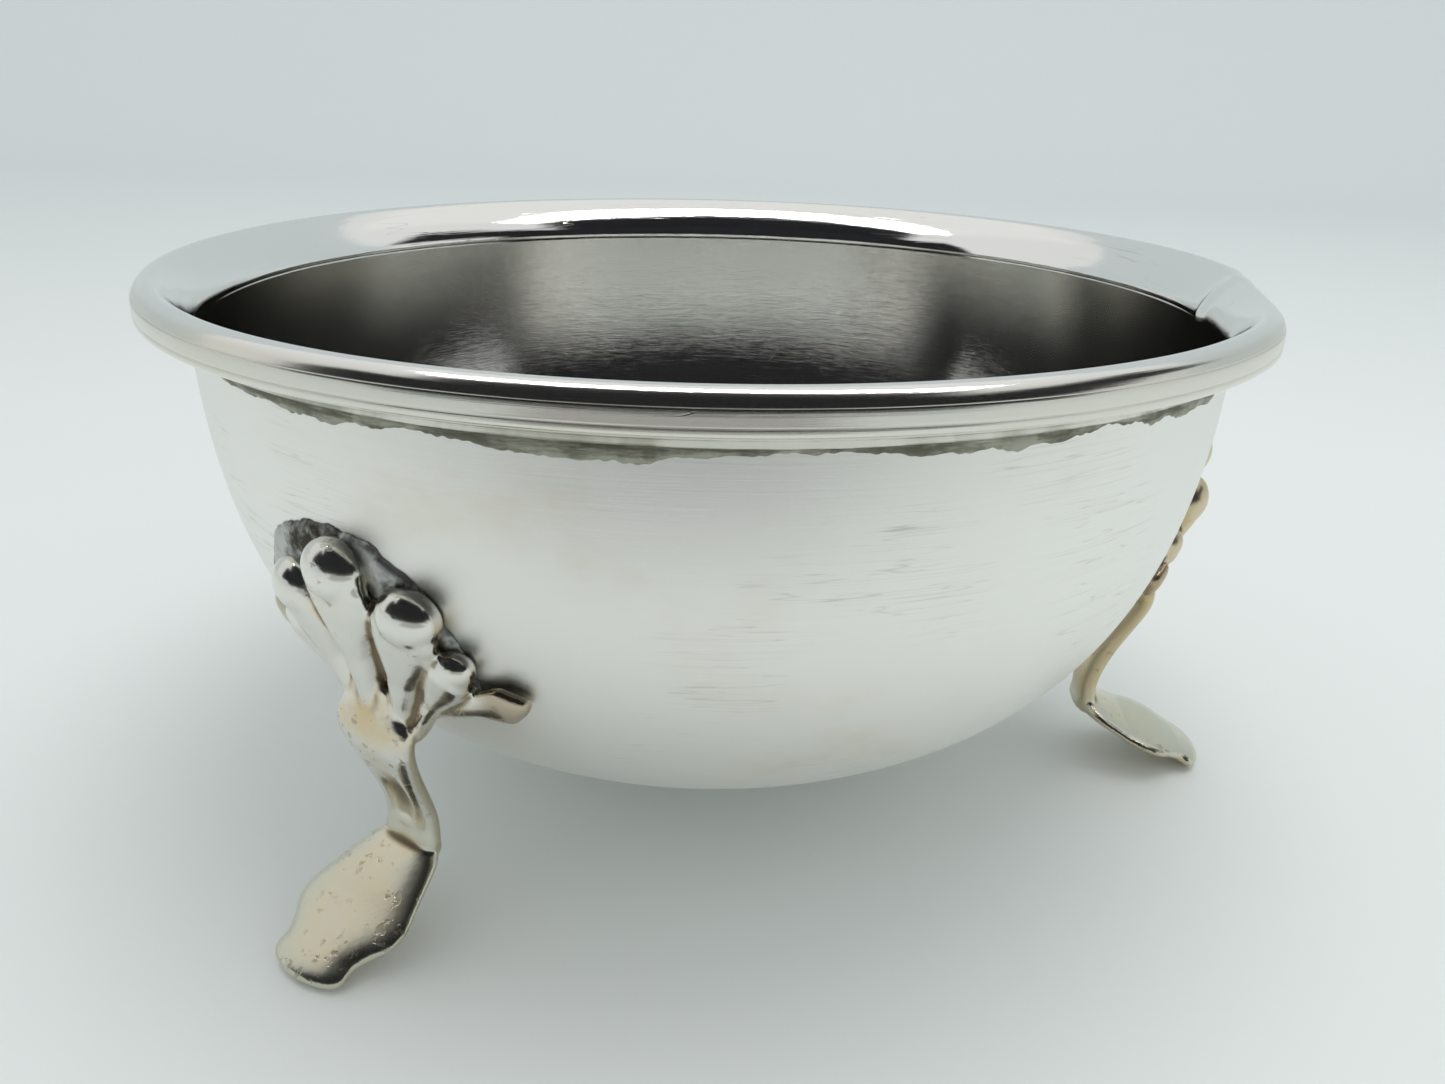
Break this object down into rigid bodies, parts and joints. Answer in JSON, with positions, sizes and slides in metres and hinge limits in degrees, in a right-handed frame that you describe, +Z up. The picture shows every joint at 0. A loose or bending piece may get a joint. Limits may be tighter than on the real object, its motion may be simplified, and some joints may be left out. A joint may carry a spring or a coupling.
{
  "type": "footed silver bowl",
  "caption": "Small round silver serving bowl with a moulded rim, on cast legs with fan-shaped tops and spade feet.",
  "frame": {"origin": "on the bowl's axis, on the surface that the feet stand on", "axes": "+Z up along the bowl's axis, +X towards the leg called leg_right, +Y towards the back"},
  "size_m": [0.1218, 0.12, 0.06],
  "materials": {
    "satin_silver": "hand-polished silver, satin from fine wear scratches",
    "polished_silver": "bright polished silver",
    "cast_silver": "polished cast silver with warm tarnish in the hollows",
    "silver_solder": "dull grey tarnished silver solder"
  },
  "bodies": {
    "root": {"bowl_shell": "satin_silver", "rim_moulding": "polished_silver", "rim_solder": "silver_solder", "leg_right": "cast_silver", "leg_right_solder": "silver_solder", "leg_rear": "cast_silver", "leg_rear_solder": "silver_solder", "leg_front": "cast_silver", "leg_front_solder": "silver_solder"}
  },
  "joints": []
}
